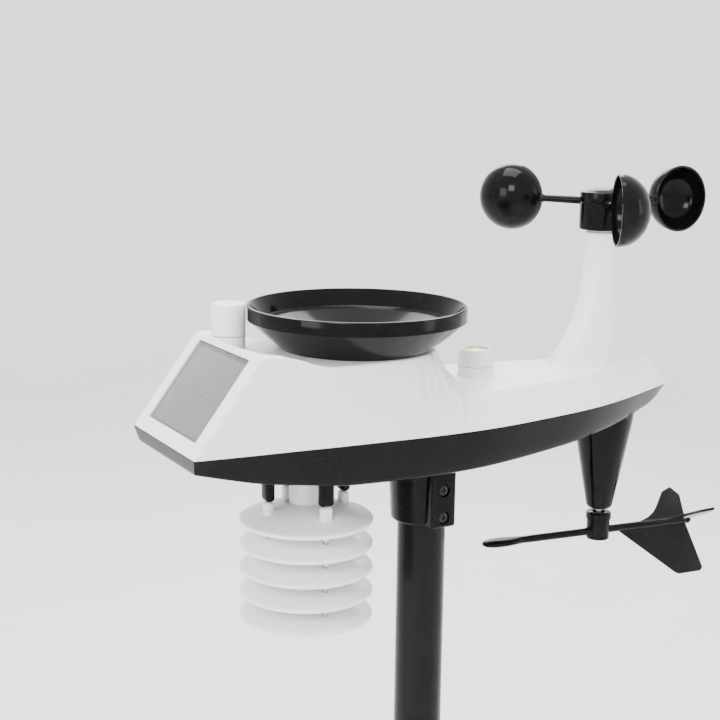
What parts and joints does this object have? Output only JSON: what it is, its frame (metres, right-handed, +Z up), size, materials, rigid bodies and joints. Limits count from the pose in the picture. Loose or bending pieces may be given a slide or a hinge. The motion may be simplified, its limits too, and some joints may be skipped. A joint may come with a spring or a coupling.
{
  "type": "tripod weather station",
  "caption": "Outdoor weather sensor head with rain funnel, wind cups, wind vane, solar panel and radiation shield on a mast and folding tripod.",
  "frame": {"origin": "middle of the flat sole under the mast, at floor level, on the mast axis", "axes": "+Z up along the mast; +X along the head from the solar panel to the wind cups; +Y to the left of that"},
  "size_m": [0.5031, 0.5066, 0.8362],
  "materials": {
    "white_shell": "satin white moulded ABS",
    "black_shell": "glossy black moulded ABS",
    "black_tube": "satin black powder-coated steel tube",
    "black_plastic": "matt black nylon",
    "rubber": "matt black rubber",
    "steel": "bright stainless steel",
    "dark_steel": "black oxide steel",
    "brass": "turned brass bush",
    "solar_cell": "grey laminated solar cell under a clear coat",
    "vial": "clear vial over yellow-green fluid",
    "board": "green solder mask",
    "battery": "printed sleeve",
    "reed_glass": "clear glass"
  },
  "bodies": {
    "station": {"upper_housing": "white_shell", "lower_housing": "black_shell", "solar_panel": "solar_cell", "antenna_cover": "white_shell", "antenna_whip": "steel", "level_housing": "white_shell", "level_vial": "vial", "bucket_cradle": "black_plastic", "bucket_pin": "steel", "reed_switch": "reed_glass", "rotor_bearing_upper": "brass", "rotor_bearing_lower": "brass", "vane_bearing": "brass", "shield_plate_1": "white_shell", "shield_plate_2": "white_shell", "shield_plate_3": "white_shell", "shield_plate_4": "white_shell", "shield_plate_5": "white_shell", "shield_tube": "white_shell", "shield_screw_1": "steel", "shield_screw_2": "steel", "shield_screw_3": "steel", "shield_screw_4": "steel", "sensor_board": "board", "socket_bolt_1": "dark_steel", "socket_nut_1": "dark_steel", "socket_bolt_2": "dark_steel", "socket_nut_2": "dark_steel", "circuit_board": "board", "battery_1": "battery", "battery_2": "battery", "battery_3": "battery", "mast_upper": "black_tube", "mast_lower": "black_tube", "mast_screw": "steel", "mast_foot": "rubber", "tripod_hub": "black_plastic", "hub_screw": "steel", "leg_pin_1": "steel", "leg_pin_2": "steel", "leg_pin_3": "steel"},
    "cup_rotor": {"cup_wheel": "black_shell", "rotor_cap": "black_shell", "rotor_shaft": "steel"},
    "vane": {"wind_vane": "black_shell", "vane_shaft": "steel", "vane_set_screw": "dark_steel"},
    "bucket": {"tipping_bucket": "black_plastic"},
    "funnel": {"rain_funnel": "black_shell"},
    "door": {"battery_door": "black_shell", "battery_door_screw": "steel"},
    "button": {"reset_button": "rubber"},
    "front_leg": {"leg_3": "black_tube", "leg_foot_3": "rubber"},
    "stern_leg": {"leg_2": "black_tube", "leg_foot_2": "rubber"},
    "rear_leg": {"leg_1": "black_tube", "leg_foot_1": "rubber"}
  },
  "joints": [
    {"name": "cup_spin", "type": "hinge", "parent": "station", "child": "cup_rotor", "pos_m": [0.1234, 0, 0.8158], "axis": [0, 0, 1], "continuous": true},
    {"name": "vane_turn", "type": "hinge", "parent": "station", "child": "vane", "pos_m": [0.1316, 0, 0.6085], "axis": [0, 0, 1], "continuous": true},
    {"name": "bucket_tip", "type": "hinge", "parent": "station", "child": "bucket", "pos_m": [-0.0447, 0, 0.704], "axis": [0, -1, 0], "range_deg": [0, 26]},
    {"name": "funnel_twist", "type": "hinge", "parent": "station", "child": "funnel", "pos_m": [-0.0447, 0, 0.7415], "axis": [0, 0, 1], "range_deg": [0, 30]},
    {"name": "battery_door_lift", "type": "slide", "parent": "station", "child": "door", "axis": [0, 0, -1], "range_m": [0, 0.03]},
    {"name": "reset_press", "type": "slide", "parent": "station", "child": "button", "axis": [0, 0, 1], "range_m": [0, 0.001], "stiffness_N_per_m": 600, "springref_m": -0.0005},
    {"name": "rear_leg_fold", "type": "hinge", "parent": "station", "child": "rear_leg", "pos_m": [0.017, 0.02944, 0.34], "axis": [-0.866, 0.5, 0], "range_deg": [0, 35.7]},
    {"name": "stern_leg_fold", "type": "hinge", "parent": "station", "child": "stern_leg", "pos_m": [-0.034, 0, 0.34], "axis": [0, -1, 0], "range_deg": [0, 35.7]},
    {"name": "front_leg_fold", "type": "hinge", "parent": "station", "child": "front_leg", "pos_m": [0.017, -0.02944, 0.34], "axis": [0.866, 0.5, 0], "range_deg": [0, 35.7]}
  ]
}
